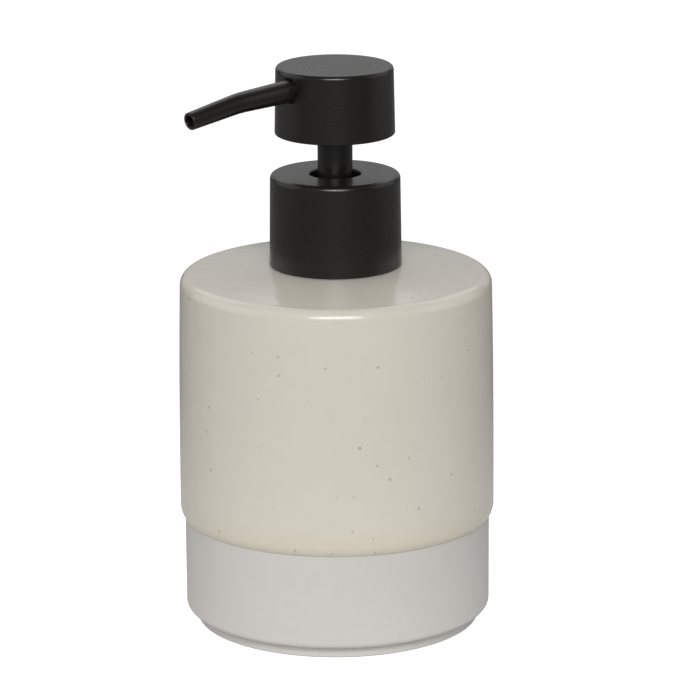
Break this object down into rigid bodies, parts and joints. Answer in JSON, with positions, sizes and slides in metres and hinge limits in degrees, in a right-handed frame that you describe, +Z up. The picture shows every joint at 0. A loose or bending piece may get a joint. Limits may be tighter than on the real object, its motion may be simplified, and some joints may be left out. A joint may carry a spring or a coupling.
{
  "type": "soap pump dispenser",
  "caption": "Round ceramic soap bottle with an unglazed foot band, a speckled glaze above it and a black screw-on lotion pump with a thin angled spout.",
  "frame": {"origin": "centre of the foot ring's underside, on the pump's axis", "axes": "+Z up along the pump's axis, spout towards -Y"},
  "size_m": [0.0794, 0.0851, 0.1419],
  "materials": {
    "bare_ceramic": "matte unglazed",
    "glaze": "glossy, sparse grey-brown speckles",
    "grey_plastic": "satin",
    "seal": "soft matte",
    "white_plastic": "satin",
    "clear_tube": "translucent natural",
    "satin_black": "satin black",
    "spring_steel": "drawn, bright",
    "piston_plastic": "soft natural"
  },
  "bodies": {
    "bottle": {"bottle": "bare_ceramic", "glaze_coat": "glaze", "neck_insert": "grey_plastic"},
    "pump": {"pump_housing": "white_plastic", "neck_gasket": "seal", "guide_ring": "satin_black", "stem_wiper": "seal", "ball_retainer": "white_plastic", "dip_tube": "clear_tube"},
    "closure": {"screw_closure": "satin_black", "collar_cover": "satin_black"},
    "spring": {"return_spring": "spring_steel"},
    "head": {"head_shell": "satin_black", "head_core": "satin_black", "spout": "satin_black", "stem_sleeve": "satin_black", "inner_stem": "white_plastic", "piston_seat": "white_plastic"},
    "piston": {"piston": "piston_plastic"},
    "ball": {"inlet_ball": "spring_steel"}
  },
  "joints": [
    {"name": "pump_rise", "type": "slide", "parent": "bottle", "child": "pump", "axis": [0, 0, 1], "range_m": [0, 0.00952]},
    {"name": "closure_turn", "type": "hinge", "parent": "pump", "child": "closure", "pos_m": [0, 0, 0], "axis": [0, 0, 1], "range_deg": [0, 811]},
    {"name": "head_press", "type": "slide", "parent": "pump", "child": "spring", "axis": [0, 0, -1], "range_m": [0, 0.0095], "stiffness_N_per_m": 700, "springref_m": -0.008, "deforming": ["return_spring"]},
    {"name": "head_swivel", "type": "hinge", "parent": "spring", "child": "head", "pos_m": [0, 0, 0], "axis": [0, 0, 1], "continuous": true},
    {"name": "piston_slip", "type": "slide", "parent": "head", "child": "piston", "axis": [0, 0, 1], "range_m": [0, 0.0008]},
    {"name": "ball_lift", "type": "slide", "parent": "pump", "child": "ball", "axis": [0, 0, 1], "range_m": [0, 0.0012]}
  ],
  "couplings": [
    {"joint": "closure_turn", "follows": "pump_rise", "rad_per_m": 1485.4}
  ]
}
